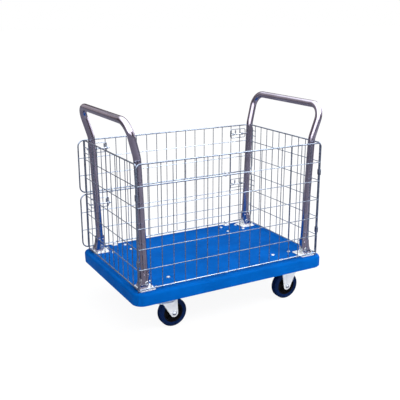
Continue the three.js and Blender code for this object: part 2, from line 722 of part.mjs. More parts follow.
add('cage_front_panel', LOOKS.wire, frontPanel());
add('gate_lower_half', LOOKS.wire, gateHalf(GATE_BOTTOM, GATE_LOWER_TOP));
add('gate_upper_half', LOOKS.wire, gateHalf(GATE_UPPER_BOTTOM, GATE_TOP));

export default cart;
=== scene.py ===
import math

import bmesh
import bpy
from mathutils import Matrix, Vector


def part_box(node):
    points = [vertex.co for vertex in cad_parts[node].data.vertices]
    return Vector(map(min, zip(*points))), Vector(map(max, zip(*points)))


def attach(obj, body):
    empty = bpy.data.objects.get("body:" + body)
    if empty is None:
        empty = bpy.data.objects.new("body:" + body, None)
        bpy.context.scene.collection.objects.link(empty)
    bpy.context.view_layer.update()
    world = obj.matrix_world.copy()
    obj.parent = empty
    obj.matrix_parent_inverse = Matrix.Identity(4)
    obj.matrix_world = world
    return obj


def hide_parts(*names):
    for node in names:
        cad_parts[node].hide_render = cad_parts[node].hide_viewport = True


# The looks of a folding platform cart: a blue plastic deck on four casters, a folding tube handle
# at each end and a zinc wire cage with a two-part drop gate. The cart's shapes are worked out in
# millimetres in the frame's own axes and are turned into metres as each piece is made. The camera,
# the floor, the lights and the textures are in metres.
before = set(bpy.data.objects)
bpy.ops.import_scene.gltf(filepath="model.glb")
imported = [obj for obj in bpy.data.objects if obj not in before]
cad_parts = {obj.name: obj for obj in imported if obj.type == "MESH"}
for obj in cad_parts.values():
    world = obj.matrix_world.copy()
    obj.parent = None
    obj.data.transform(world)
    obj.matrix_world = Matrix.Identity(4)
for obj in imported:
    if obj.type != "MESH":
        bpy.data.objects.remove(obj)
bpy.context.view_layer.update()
PER_METRE = 1000.0


def node_box(node):
    low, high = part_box(node)
    return low * PER_METRE, high * PER_METRE


def node_centre(node):
    low, high = node_box(node)
    return (low + high) / 2


def new_object(name, data):
    thing = bpy.data.objects.new(name, data)
    bpy.context.scene.collection.objects.link(thing)
    return thing


SIDES = {"left": -1, "right": 1}
DEPTHS = {"front": -1, "rear": 1}
LEVELS = ("upper", "lower")

# ------------------ camera
CAMERA_PLACE = (-1.364, -2.421, 1.230)
CAMERA_YAW = 29.3
CAMERA_PITCH = 15.93
LENS = 59.6
SENSOR = 36.0


def make_camera():
    data = bpy.data.cameras.new("camera")
    data.lens = LENS
    data.sensor_width = SENSOR
    camera = new_object("camera", data)
    camera.location = CAMERA_PLACE
    camera.rotation_euler = (math.radians(90 - CAMERA_PITCH), 0, math.radians(-CAMERA_YAW))
    bpy.context.scene.camera = camera


# ------------------ materials
class NodeTree:
    """A short way to write a node tree."""

    def __init__(self, tree):
        self.tree = tree

    def add(self, kind, **settings):
        node = self.tree.nodes.new(kind)
        for key, value in settings.items():
            setattr(node, key, value)
        return node

    def join(self, source, target):
        self.tree.links.new(source, target)

    def ramp(self, source, *stops):
        """A colour for each value, from (position, colour) pairs; a single number is a grey."""
        node = self.add("ShaderNodeValToRGB")
        elements = node.color_ramp.elements
        while len(elements) < len(stops):
            elements.new(0.5)
        for element, (position, colour) in zip(elements, stops):
            element.position = position
            element.color = (*colour, 1) if isinstance(colour, tuple) else (colour, colour, colour, 1)
        self.join(source, node.inputs["Fac"])
        return node.outputs["Color"]


class Nodes(NodeTree):
    """A material's node tree, with textures that follow the piece they are on."""

    def __init__(self, name):
        self.material = bpy.data.materials.new(name)
        self.material.use_nodes = True
        super().__init__(self.material.node_tree)
        self.shader = self.tree.nodes["Principled BSDF"]
        self.place = self.add("ShaderNodeTexCoord").outputs["Object"]

    def stretched(self, scale):
        mapping = self.add("ShaderNodeMapping")
        mapping.inputs["Scale"].default_value = scale
        self.join(self.place, mapping.inputs["Vector"])
        return mapping.outputs["Vector"]

    def noise(self, scale, detail, roughness=0.5, stretch=None):
        node = self.add("ShaderNodeTexNoise")
        node.inputs["Scale"].default_value = scale
        node.inputs["Detail"].default_value = detail
        node.inputs["Roughness"].default_value = roughness
        self.join(self.stretched(stretch) if stretch else self.place, node.inputs["Vector"])
        return node.outputs["Fac"]

    def cells(self, scale):
        node = self.add("ShaderNodeTexVoronoi")
        node.inputs["Scale"].default_value = scale
        self.join(self.place, node.inputs["Vector"])
        return node.outputs["Distance"]

    def blend(self, factor, under, over):
        """A plain colour laid over a node's colour."""
        node = self.add("ShaderNodeMix", data_type="RGBA")
        self.join(factor, node.inputs[0])
        self.join(under, node.inputs[6])
        node.inputs[7].default_value = (*over, 1)
        return node.outputs[2]

    def times(self, source, factor):
        node = self.add("ShaderNodeMath", operation="MULTIPLY")
        self.join(source, node.inputs[0])
        node.inputs[1].default_value = factor
        return node.outputs[0]

    def bump(self, height, strength, distance, under=None):
        node = self.add("ShaderNodeBump")
        node.inputs["Strength"].default_value = strength
        node.inputs["Distance"].default_value = distance
        self.join(height, node.inputs["Height"])
        if under is not None:
            self.join(under, node.inputs["Normal"])
        return node.outputs["Normal"]

    def finish(self, colour, roughness, normal, **constants):
        self.join(colour, self.shader.inputs["Base Color"])
        self.join(roughness, self.shader.inputs["Roughness"])
        self.join(normal, self.shader.inputs["Normal"])
        for key, value in constants.items():
            self.shader.inputs[key.replace("_", " ")].default_value = value
        return self.material


def deck_plastic():
    m = Nodes("deck_plastic")
    cloud = m.noise(7, 5, 0.62)
    colour = m.ramp(cloud, (0.32, (0.0, 0.082, 0.355)), (0.68, (0.0, 0.114, 0.48)))
    streak = m.noise(60, 5, 0.6, (0.15, 1, 1))
    colour = m.blend(m.ramp(streak, (0.60, 0.0), (0.78, 0.22)), colour, (0.002, 0.16, 0.58))
    scuff = m.noise(240, 2, 0.5, (0.08, 0.9, 1))
    colour = m.blend(m.ramp(scuff, (0.70, 0.0), (0.80, 0.30)), colour, (0.02, 0.22, 0.60))
    rough = m.ramp(m.noise(90, 3), (0.3, 0.36), (0.7, 0.48))
    grain = m.bump(m.noise(1900, 2), 0.35, 0.00025)
    ripple = m.bump(m.noise(9, 2), 0.25, 0.004, grain)
    return m.finish(colour, rough, ripple, IOR=1.06)


def tube_steel():
    m = Nodes("handle_tube_steel")
    colour = m.ramp(m.noise(14, 4), (0.3, (0.37, 0.335, 0.39)), (0.7, (0.46, 0.43, 0.51)))
    line = m.noise(700, 3, 0.6, (1, 1, 0.04))
    rough = m.ramp(line, (0.3, 0.09), (0.7, 0.18))
    normal = m.bump(line, 0.10, 0.0003, m.bump(m.noise(30, 2), 0.12, 0.002))
    return m.finish(colour, rough, normal, Metallic=1.0)


def wire_zinc():
    m = Nodes("cage_wire_zinc")
    colour = m.ramp(m.noise(40, 5), (0.32, (0.15, 0.18, 0.25)), (0.68, (0.31, 0.36, 0.44)))
    colour = m.blend(m.ramp(m.noise(11, 2), (0.45, 0.0), (0.7, 0.35)), colour, (0.30, 0.38, 0.42))
    rough = m.ramp(m.noise(160, 3), (0.3, 0.20), (0.7, 0.36))
    normal = m.bump(m.noise(900, 3), 0.25, 0.0003)
    return m.finish(colour, rough, normal, Metallic=1.0)


def pressed_zinc():
    m = Nodes("pressed_zinc")
    colour = m.ramp(m.noise(22, 5), (0.3, (0.88, 0.92, 0.94)), (0.7, (0.97, 0.98, 0.99)))
    colour = m.blend(m.ramp(m.noise(7, 2), (0.5, 0.0), (0.72, 0.25)), colour, (0.74, 0.76, 0.66))
    spangle = m.cells(260)
    rough = m.ramp(spangle, (0.0, 0.30), (0.8, 0.46))
    normal = m.bump(spangle, 0.12, 0.0004, m.bump(m.noise(1300, 2), 0.15, 0.0002))
    return m.finish(colour, rough, normal, Metallic=0.12)


def fastener_zinc():
    m = Nodes("fastener_zinc")
    colour = m.ramp(m.noise(120, 4), (0.3, (0.42, 0.45, 0.49)), (0.7, (0.62, 0.66, 0.70)))
    rough = m.ramp(m.noise(300, 3), (0.3, 0.22), (0.7, 0.38))
    normal = m.bump(m.noise(1600, 3), 0.2, 0.0002)
    return m.finish(colour, rough, normal, Metallic=1.0)


def tyre_rubber():
    m = Nodes("tyre_rubber")
    colour = m.ramp(m.noise(35, 4), (0.3, (0.002, 0.011, 0.050)), (0.7, (0.004, 0.020, 0.088)))
    dust = m.noise(260, 4, 0.7)
    colour = m.blend(m.ramp(dust, (0.62, 0.0), (0.82, 0.12)), colour, (0.04, 0.05, 0.07))
    rough = m.ramp(m.noise(120, 4), (0.3, 0.36), (0.7, 0.55))
    normal = m.bump(m.noise(1100, 3), 0.3, 0.0004)
    return m.finish(colour, rough, normal, IOR=1.14)


def core_plastic():
    m = Nodes("core_plastic")
    colour = m.ramp(m.noise(60, 4), (0.3, (0.004, 0.004, 0.005)), (0.7, (0.012, 0.011, 0.013)))
    rough = m.ramp(m.noise(200, 3), (0.3, 0.25), (0.7, 0.42))
    normal = m.bump(m.noise(1500, 2), 0.25, 0.0002)
    return m.finish(colour, rough, normal, IOR=1.12)


MATERIALS = {
    "deck_plastic": deck_plastic(),
    "handle_tube_steel": tube_steel(),
    "cage_wire_zinc": wire_zinc(),
    "pressed_zinc": pressed_zinc(),
    "fastener_zinc": fastener_zinc(),
    "tyre_rubber": tyre_rubber(),
    "core_plastic": core_plastic(),
}

# ------------------ mesh tools
SHARP = math.radians(34)


def make_piece(name, mesh, body, slot, nodes=()):
    """One visible piece from a bmesh in millimetres, riding on a body in place of its nodes."""
    bmesh.ops.remove_doubles(mesh, verts=mesh.verts, dist=0.002)
    bmesh.ops.recalc_face_normals(mesh, faces=mesh.faces)
    mesh.transform(Matrix.Scale(1 / PER_METRE, 4))
    for face in mesh.faces:
        face.smooth = True
    for edge in mesh.edges:
        edge.smooth = len(edge.link_faces) == 2 and edge.calc_face_angle() < SHARP
    data = bpy.data.meshes.new(name)
    mesh.to_mesh(data)
    mesh.free()
    data.materials.append(MATERIALS[slot])
    piece = new_object(name, data)
    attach(piece, body)
    if nodes:
        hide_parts(*nodes)


def make_look(node, mesh, body, slot):
    """The piece that is seen in place of one CAD node, and is named after it."""
    make_piece(f"{node}_look", mesh, body, slot, [node])


def loft(mesh, rings, closed=False):
    """Skins rings of equal point count, one after the other, and caps the ends of an open row."""
    rows = [[mesh.verts.new(point) for point in ring] for ring in rings]
    count = len(rows[0])
    pairs = list(zip(rows, rows[1:]))
    if closed:
        pairs.append((rows[-1], rows[0]))
    for first, second in pairs:
        for i in range(count):
            j = (i + 1) % count
            mesh.faces.new((first[i], first[j], second[j], second[i]))
    if not closed:
        mesh.faces.new(rows[0][::-1])
        mesh.faces.new(rows[-1])


def arc(centre, radius, start, end, steps):
    """Points in a plane on an arc, angles in degrees."""
    angles = [math.radians(start + (end - start) * k / steps) for k in range(steps + 1)]
    return [(centre[0] + radius * math.cos(a), centre[1] + radius * math.sin(a)) for a in angles]


def rounded_path(points, radius, steps, closed=False):
    """The same corners with each turn rounded to the radius."""
    count = len(points)
    path = []
    for i, corner in enumerate(points):
        if not closed and i in (0, count - 1):
            path.append(Vector(corner))
            continue
        back = (points[i - 1] - corner).normalized()
        ahead = (points[(i + 1) % count] - corner).normalized()
        half = back.angle(ahead) / 2
        turn = radius[i] if isinstance(radius, dict) else radius
        centre = corner + (back + ahead).normalized() * turn / math.sin(half)
        start = corner + back * turn / math.tan(half) - centre
        axis = back.cross(ahead).normalized()
        for k in range(steps + 1):
            angle = -(math.pi - 2 * half) * k / steps
            path.append(centre + Matrix.Rotation(angle, 3, axis) @ start)
    return path


def ring_points(place, aside, other, radius, angles):
    """Points round a place, in the plane of two directions, at angles in radians."""
    return [place + (aside * math.cos(a) + other * math.sin(a)) * radius for a in angles]


def whole_turn(steps, offset=0.0):
    return [2 * math.pi * (k + offset) / steps for k in range(steps)]


def sweep(mesh, path, radius, sides, closed=False):
    """A round bar along a path, with slightly domed ends."""
    count = len(path)
    tangents = []
    for i in range(count):
        before = path[i - 1] if closed or i else path[0]
        after = path[(i + 1) % count] if closed or i < count - 1 else path[-1]
        tangents.append((after - before).normalized())
    aside = tangents[0].orthogonal().normalized()
    rings = []
    for i, (place, tangent) in enumerate(zip(path, tangents)):
        if i:
            turned = tangents[i - 1].rotation_difference(tangent)
            aside = (turned @ aside).normalized()
        aside = (aside - tangent * aside.dot(tangent)).normalized()
        rings.append(ring_points(place, aside, tangent.cross(aside), radius, whole_turn(sides, 0.5)))
    if not closed:
        reach = min(radius * 0.35, 1.0)
        for end, ring, tangent in ((0, rings[0], -tangents[0]), (-1, rings[-1], tangents[-1])):
            cap = [p + (path[end] - p) * reach / radius for p in ring]
            inset = [p - tangent * reach for p in ring]
            if end == 0:
                rings = [cap, inset] + rings[1:]
            else:
                rings = rings[:-1] + [inset, cap]
    loft(mesh, rings, closed=closed)


def bar(mesh, start, end, radius, sides):
    sweep(mesh, [Vector(start), Vector(end)], radius, sides)


AXES = {"x": Vector((1, 0, 0)), "y": Vector((0, 1, 0)), "z": Vector((0, 0, 1))}


def lathe(mesh, profile, centre, axis, steps, closed=False):
    """Turns (radius, along) points about an axis, given as a letter or a direction."""
    along = AXES[axis] if isinstance(axis, str) else axis.normalized()
    aside = along.orthogonal().normalized()
    other = along.cross(aside)
    centre = Vector(centre)
    angles = whole_turn(steps)
    rings = [ring_points(centre + along * height, aside, other, radius, angles)
             for radius, height in profile]
    loft(mesh, rings, closed=closed)


def mirrored(profile):
    """The same profile on the other side of the middle, from its far end back."""
    return [(radius, -along) for radius, along in reversed(profile)]


def bevel(mesh, width, segments, limit=40):
    """Softens the edges that turn by more than the limit, in degrees."""
    limit = math.radians(limit)
    edges = [e for e in mesh.edges if len(e.link_faces) == 2 and e.calc_face_angle() > limit]
    bmesh.ops.bevel(mesh, geom=edges, offset=width, segments=segments, affect="EDGES", clamp_overlap=True)


def prism(mesh, outline, low, high, plane="xy", *, soft, segments=2):
    """An outline extruded between two heights, with softened edges; the plane is xy, xz or yz."""
    part = bmesh.new()

    def place(a, b, height):
        return {"xy": (a, b, height), "xz": (a, height, b), "yz": (height, a, b)}[plane]

    loft(part, [[place(a, b, height) for a, b in outline] for height in (low, high)])
    bmesh.ops.recalc_face_normals(part, faces=part.faces)
    if soft:
        bevel(part, soft, segments)
    merge(mesh, part)


def merge(mesh, part):
    """Adds a part's faces to the mesh and frees the part."""
    data = bpy.data.meshes.new("part")
    part.to_mesh(data)
    part.free()
    mesh.from_mesh(data)
    bpy.data.meshes.remove(data)


def rounded_rectangle(centre, half_x, half_y, radius, steps=6):
    x, y = centre
    points = []
    for i, (sx, sy) in enumerate(((1, 1), (-1, 1), (-1, -1), (1, -1))):
        corner = (x + sx * (half_x - radius), y + sy * (half_y - radius))
        points += arc(corner, radius, 90 * i, 90 * i + 90, steps)
    return points


WASHER = {"thickness": 1.2, "edge": 0.3, "hole": 0.4, "sunk": 0.1}


def hex_head(mesh, centre, axis, outward, across_flats, height, washer, turn):
    """A chamfered hexagon head on a washer of a radius, standing out of a face along an axis."""
    along = AXES[axis] * outward
    base = Vector(centre)
    thick, edge, hole = WASHER["thickness"], WASHER["edge"], WASHER["hole"]
    lathe(mesh, [(hole, 0), (washer - edge, 0), (washer, edge), (washer, thick - edge),
                 (washer - edge, thick), (hole, thick)], base, along, 28)
    base = base + along * (thick - WASHER["sunk"])
    aside = along.orthogonal().normalized()
    other = along.cross(aside)
    radius = across_flats / math.sqrt(3)
    angles = [math.radians(60 * k + turn) for k in range(6)]
    profile = [(0.96, 0), (1, 0.5), (1, height - 1.0), (0.86, height - 0.15), (0.80, height)]
    loft(mesh, [ring_points(base + along * level, aside, other, radius * part, angles)
                for part, level in profile])


def dome_head(mesh, centre, axis, outward, radius, height, steps):
    """A round head with a short upright edge under its dome."""
    along = AXES[axis] * outward
    edge = 0.18
    profile = [(radius * 0.96, 0), (radius, height * edge)]
    for angle in (math.radians(a) for a in (20, 40, 60, 78)):
        profile.append((radius * math.cos(angle), height * (edge + (1 - edge) * math.sin(angle))))
    lathe(mesh, profile, centre, along, steps)


# ------------------ deck
DECK_LOW, DECK_HIGH = node_box("deck")
TREAD = {"half_x": 240, "half_y": 255, "rise": 0.5}
DECK_TOP = DECK_HIGH.z - TREAD["rise"]
DECK_CORNER = 45
RIM_RADIUS = 10
SKIRT_WALL = 5
CEILING = DECK_TOP - 8
RIB_HALF = 2
# How far out the ribs under the deck run: in the middle field, at its sides and at the deck's ends.
MIDDLE_X, MIDDLE_Y = 237, 202
SIDE_X, SIDE_Y = 366, 162
END_Y = 225
CASTER_PAD = {"x": 301, "y": 229, "half_x": 66, "half_y": 65}
FOOT_PAD = {"x": 401, "y": 256, "half_x": 38, "half_y": 36}


def deck_ring(inset, height):
    half_x, half_y = DECK_HIGH.x - inset, DECK_HIGH.y - inset
    outline = rounded_rectangle((0, 0), half_x, half_y, max(DECK_CORNER - inset, 4), 14)
    return [(x, y, height) for x, y in outline]


def rib(mesh, x0, x1, y0, y1):
    outline = [(x0, y0), (x1, y0), (x1, y1), (x0, y1)]
    prism(mesh, outline, DECK_LOW.z + 2, CEILING + 1, soft=0)


def rib_grid(mesh, xs, ys, low, high):
    """Cross ribs at the given places, filling a rectangle of the underside."""
    for x in xs:
        rib(mesh, x - RIB_HALF, x + RIB_HALF, low[1], high[1])
    for y in ys:
        rib(mesh, low[0], high[0], y - RIB_HALF, y + RIB_HALF)


def spaced(low, high, count):
    """Evenly spaced places, both ends included."""
    return [low + (high - low) * k / count for k in range(count + 1)]


def underside_ribs(mesh):
    x_edge, y_edge = DECK_HIGH.x - SKIRT_WALL, DECK_HIGH.y - SKIRT_WALL
    reach = MIDDLE_X + RIB_HALF
    xs, ys = spaced(-MIDDLE_X, MIDDLE_X, 5), spaced(-MIDDLE_Y, MIDDLE_Y, 4)
    rib_grid(mesh, xs, ys, (-reach, -y_edge), (reach, y_edge))
    reach = SIDE_Y + RIB_HALF
    for side in SIDES.values():
        low, high = sorted((side * MIDDLE_X, side * SIDE_X))
        xs, ys = [side * (MIDDLE_X + SIDE_X) / 2, side * SIDE_X], spaced(-SIDE_Y, SIDE_Y, 4)
        rib_grid(mesh, xs, ys, (low, -reach), (high, reach))
        low, high = sorted((side * SIDE_X, side * x_edge))
        rib_grid(mesh, [], spaced(-END_Y, END_Y, 5), (low, -END_Y), (high, END_Y))


def underside_pad(mesh, size, side, depth, bottom):
    centre = (side * size["x"], depth * size["y"])
    outline = rounded_rectangle(centre, size["half_x"], size["half_y"], 8, 4)
    prism(mesh, outline, bottom, CEILING + 1, soft=1.0)


def make_deck():
    mesh = bmesh.new()
    bottom = DECK_LOW.z
    profile = [(SKIRT_WALL, bottom + 0.8), (SKIRT_WALL - 1, bottom), (2.4, bottom), (1.6, bottom + 0.8)]
    profile += [(0.9, bottom + 12), (0.3, bottom + 26), (0, DECK_TOP - RIM_RADIUS)]
    for angle in (math.radians(a) for a in (12, 24, 36, 48, 60, 72, 82, 90)):
        inset = RIM_RADIUS * (1 - math.cos(angle))
        profile.append((inset, DECK_TOP - RIM_RADIUS * (1 - math.sin(angle))))
    rings = [deck_ring(SKIRT_WALL + 1.5, CEILING)] + [deck_ring(i, z) for i, z in profile]
    loft(mesh, rings)
    field = rounded_rectangle((0, 0), TREAD["half_x"], TREAD["half_y"], 6, 5)
    prism(mesh, field, DECK_TOP - 1, DECK_HIGH.z, soft=0.4)
    underside_ribs(mesh)
    for side in SIDES.values():
        for depth in DEPTHS.values():
            underside_pad(mesh, CASTER_PAD, side, depth, bottom)
            underside_pad(mesh, FOOT_PAD, side, depth, bottom + 2)
    make_look("deck", mesh, "chassis", "deck_plastic")


# ------------------ casters
WHEEL_RADIUS = 60
TYRE_HALF = 16
FORK_GAP = 40
LEG = 3
LEG_FACE = FORK_GAP / 2 + LEG
LEG_END = 17
BOLT_SPACING = (85, 67)
PLATE_HALF = (59, 48)
PLATE_THICKNESS = 3.7
PLATE_FACE = DECK_LOW.z - 0.3
PLATE_UNDER = PLATE_FACE - PLATE_THICKNESS
CROWN = {"radius": 56, "low": 123, "high": 126, "top": 132.5}
AXLE = {"radius": 5, "half": 30.5, "flats": 14, "washer": 9.4, "head": 4.2, "nut": 5.0}


def mounting_plate(mesh, x, y):
    outline = rounded_rectangle((x, y), *PLATE_HALF, 12, 6)
    prism(mesh, outline, PLATE_UNDER, PLATE_FACE, soft=0.8)


def plate_bolts(mesh, x, y):
    """Four bolts with their heads on the deck and their nuts under the plate."""
    for i in (-1, 1):
        for j in (-1, 1):
            place = (x + i * BOLT_SPACING[0] / 2, y + j * BOLT_SPACING[1] / 2)
            bar(mesh, (*place, PLATE_FACE - 12.5), (*place, DECK_TOP + 1), 4, 12)
            hex_head(mesh, (*place, DECK_TOP + 0.2), "z", 1, 12.5, 3.2, washer=8.2, turn=20 * i + 9 * j)
            hex_head(mesh, (*place, PLATE_UNDER), "z", -1, 13, 6.4, washer=8, turn=11 * j)


def fork_legs(mesh, axle, y, outline, rib_top, rib_left, rib_right):
    """Two legs of one outline, each with a pressed rib down it and a boss round the axle."""
    rib_outline = [(axle.x + rib_right, rib_top), (axle.x + rib_left, rib_top)]
    rib_outline += [(axle.x - 5, axle.z + 20), (axle.x + 5, axle.z + 20)]
    boss = [(2, 0), (12.5, 0), (12, 0.8), (10.8, 1.0), (2, 1.0)]
    for side in (-1, 1):
        faces = sorted((y + side * FORK_GAP / 2, y + side * LEG_FACE))
        prism(mesh, outline, *faces, "xz", soft=0.9)
        face = y + side * (LEG_FACE - 0.2)
        prism(mesh, rib_outline, *sorted((face, face + side * 1.6)), "xz", soft=1.2, segments=3)
        lathe(mesh, boss, (axle.x, face, axle.z), AXES["y"] * side, 28)


def leg_outline(axle, top_left, top_right, top, start, end):
    """A leg's outline: a straight top and a round end about the axle."""
    round_end = arc((axle.x, axle.z), LEG_END, start, end, 10)
    return [(axle.x + top_right, top), (axle.x + top_left, top)] + round_end


def swivel_plate(mesh, x, y):
    """The plate, the upper ball race and the end of the king pin."""
    mounting_plate(mesh, x, y)
    top, low = CROWN["top"], CROWN["low"]
    race = [(8, top + 1.4), (24, top + 0.6), (37, top + 0.6), (39.4, top + 2), (40, top + 4)]
    race += [(38.5, PLATE_UNDER + 0.3), (8, PLATE_UNDER + 0.3)]
    lathe(mesh, race, (x, y, 0), "z", 48)
    pin = [(2, low - 4.5), (8, low - 4.5), (11, low - 3.6), (12, low - 2), (12, low - 0.5)]
    pin += [(7, low - 0.4), (7, PLATE_UNDER), (2, PLATE_UNDER)]
    lathe(mesh, pin, (x, y, 0), "z", 24)


def swivel_crown(mesh, x, y):
    low, high, top, radius = CROWN["low"], CROWN["high"], CROWN["top"], CROWN["radius"]
    profile = [(7.8, low + 0.4), (40, low + 0.4), (46, low), (radius - 1.6, low)]
    profile += [(radius - 0.3, low + 0.7), (radius, low + 1.6), (radius - 0.5, high - 0.4)]
    profile += [(radius - 2.5, high), (46, high + 0.2), (43.4, high + 1.6), (42, high + 4)]
    profile += [(41, top - 0.8), (39, top), (30, top), (26, top - 1.6), (7.8, top - 1.6)]
    lathe(mesh, profile, (x, y, 0), "z", 56, closed=True)


def swivel_parts(spot, place, axle):
    x, y = place
    mesh = bmesh.new()
    swivel_plate(mesh, x, y)
    make_look(f"caster_plate_{spot}", mesh, "chassis", "pressed_zinc")

    mesh = bmesh.new()
    swivel_crown(mesh, x, y)
    top = CROWN["low"] + 1
    fork_legs(mesh, axle, y, leg_outline(axle, -58, 14, top, 205, 360), top - 4, -36, 3)
    make_look(f"caster_fork_{spot}", mesh, f"swivel_{spot}", "pressed_zinc")


def rigid_parts(spot, place, axle):
    x, y = place
    mesh = bmesh.new()
    mounting_plate(mesh, x, y)
    outline = leg_outline(axle, -30, 58, PLATE_FACE - 1, 180, 333)
    fork_legs(mesh, axle, y, outline, PLATE_FACE - 8, -8, 34)
    make_look(f"caster_fork_{spot}", mesh, "chassis", "pressed_zinc")


def axle_parts(spot, axle, outward, body):
    """The axle bolt's head is on the cart's outer side and its nut on the inner side."""
    face = AXES["y"] * (LEG_FACE + 1.0)
    half = AXES["y"] * AXLE["half"]
    flats, washer = AXLE["flats"], AXLE["washer"]
    mesh = bmesh.new()
    bar(mesh, axle - half, axle + half, AXLE["radius"], 16)
    hex_head(mesh, axle + outward * face, "y", outward, flats, AXLE["head"], washer, turn=12)
    make_look(f"axle_bolt_{spot}", mesh, body, "fastener_zinc")
    mesh = bmesh.new()
    hex_head(mesh, axle - outward * face, "y", -outward, flats, AXLE["nut"], washer, turn=25)
    make_look(f"axle_nut_{spot}", mesh, body, "fastener_zinc")


def make_tyre(mesh, axle):
    edge = -TYRE_HALF
    wall = [(42.3, edge + 1.4), (46, edge + 0.4), (50, edge), (50.8, edge + 0.7)]
    wall += [(52.0, edge), (55, edge + 0.3)]
    shoulder = arc((WHEEL_RADIUS - 5.5, edge + 6.0), 5.5, -72, 0, 5)
    left = wall + shoulder + [(WHEEL_RADIUS, -4)]
    profile = left + [(WHEEL_RADIUS, 0)] + mirrored(left) + [(42.3, 0)]
    lathe(mesh, profile, axle, "y", 72, closed=True)


def make_core(mesh, axle):
    """A hub, a thin web and a rim, with six webs across on each side."""
    hub = [(5.3, -19), (10, -19), (10.4, -17.6), (14.2, -17.6), (15, -16.8)]
    web = [(16.4, -6.4), (18, -5.6), (34, -5.6), (36.5, -6.6)]
    rim = [(38.2, -12.6), (39.2, -13.2), (41.2, -13.2), (42, -12.4)]
    left = hub + web + rim
    lathe(mesh, left + mirrored(left), axle, "y", 60, closed=True)
    for k in range(6):
        turn = Matrix.Rotation(math.radians(60 * k + 15), 4, "Y")
        for side in (-1, 1):
            part = bmesh.new()
            points = [(r, h * -side) for r, h in ((15, -11.5), (15, -5), (38, -5), (38, -11))]
            loft(part, [[(r, h, z) for r, h in points] for z in (-1.5, 1.5)])
            bmesh.ops.recalc_face_normals(part, faces=part.faces)
            bevel(part, 0.5, 2)
            part.transform(Matrix.Translation(axle) @ turn)
            merge(mesh, part)


def wheel_parts(spot, axle):
    body = f"wheel_{spot}"
    mesh = bmesh.new()
    make_tyre(mesh, axle)
    make_look(f"tyre_{spot}", mesh, body, "tyre_rubber")
    mesh = bmesh.new()
    make_core(mesh, axle)
    make_look(f"wheel_core_{spot}", mesh, body, "core_plastic")


def make_casters():
    """The casters at the left end swivel; those at the right end are rigid."""
    for depth_name, depth in DEPTHS.items():
        for side_name, side in SIDES.items():
            spot = f"{depth_name}_{side_name}"
            axle = node_centre(f"tyre_{spot}")
            if side < 0:
                centre = node_centre(f"caster_plate_{spot}")
                swivel_parts(spot, (centre.x, centre.y), axle)
                body = f"swivel_{spot}"
            else:
                centre = node_centre(f"caster_fork_{spot}")
                rigid_parts(spot, (centre.x, centre.y), axle)
                body = "chassis"
            bolts = bmesh.new()
            plate_bolts(bolts, centre.x, centre.y)
            make_piece(f"caster_bolts_{spot}_look", bolts, "chassis", "fastener_zinc")
            axle_parts(spot, axle, depth, body)
            wheel_parts(spot, axle)


# ------------------ handles
TUBE_RADIUS = 15
TUBE_WALL = 1.6
BEND = {"x": 403, "z": 711, "radius": 130}  # where the post turns toward the grip
GRIP_CORNER = 57
GRIP_Y = 250
FOOT = {"heel": 21.1, "toe": 35.6, "rise": 46, "flare": 34, "plate": 2.6}
FOOT_RIVETS = ((-8, 34), (8, 34))


def handle_path(side, pivot, grip, foot_height):
    """The tube's centre line, from the front foot over the grip to the rear foot."""
    corners = [
        Vector((side * pivot.x, -pivot.y, foot_height)),
        Vector((side * BEND["x"], -pivot.y, BEND["z"])),
        Vector((side * grip.x, -GRIP_Y, grip.z)),
        Vector((side * grip.x, GRIP_Y, grip.z)),
        Vector((side * BEND["x"], pivot.y, BEND["z"])),
        Vector((side * pivot.x, pivot.y, foot_height)),
    ]
    radii = {1: BEND["radius"], 2: GRIP_CORNER, 3: GRIP_CORNER, 4: BEND["radius"]}
    return rounded_path(corners, radii, 12)


def open_tube(mesh, path, radius, wall, sides):
    """A hollow tube along a path, open at both ends."""
    aside = AXES["x"]
    outer, inner = [], []
    for i, place in enumerate(path):
        tangent = (path[min(i + 1, len(path) - 1)] - path[max(i - 1, 0)]).normalized()
        aside = (aside - tangent * aside.dot(tangent)).normalized()
        ring = ring_points(place, aside, tangent.cross(aside), radius, whole_turn(sides))
        outer.append(ring)
        inner.append([place + (p - place) * (1 - wall / radius) for p in ring])
    loft(mesh, outer + inner[::-1], closed=True)


def make_handle(side_name, side):
    body = f"handle_{side_name}"
    pivot = node_centre(f"pivot_pin_rear_{side_name}")
    pivot.x = abs(pivot.x)
    low, high = node_box(f"handle_tube_{side_name}")
    grip = Vector((max(abs(low.x), abs(high.x)) - TUBE_RADIUS, 0, high.z - TUBE_RADIUS))
    mesh = bmesh.new()
    open_tube(mesh, handle_path(side, pivot, grip, low.z), TUBE_RADIUS, TUBE_WALL, 32)
    make_look(f"handle_tube_{side_name}", mesh, body, "handle_tube_steel")
    for depth_name, depth in DEPTHS.items():
        make_foot(f"{depth_name}_{side_name}", side, depth, pivot, body)


def foot_line(flare):
    """The channel's section from one flange's edge round the post to the other's, as (x, y)."""
    radius = TUBE_RADIUS + 0.3 + FOOT["plate"] / 2
    flange = [(flare * (1 - k / 5), radius) for k in range(5)]
    back = [(-x, y) for x, y in arc((0, 0), radius, 90, -90, 14)]
    return flange + back + [(x, -radius) for x, y in reversed(flange)]


def foot_reach(x):
    """How far below the pivot the flange goes: arcs about the pivot at the heel and at the toe."""
    if x < 0:
        return math.sqrt(max(FOOT["heel"] ** 2 - x ** 2, 0))
    return min(FOOT["heel"], math.sqrt(max(FOOT["toe"] ** 2 - x ** 2, 0)))


def foot_low(x, y):
    """The foot's lower edge from the pivot's height, arched up behind the post to clear the plate."""
    flange_low = -foot_reach(x)
    if x >= 0:
        return flange_low
    web_low = 22
    arch = 0.5 * (1 + math.cos(math.pi * min(abs(y) / (TUBE_RADIUS + 1.6), 1)))
    return flange_low + (web_low - flange_low) * min(arch * 1.9, 1)


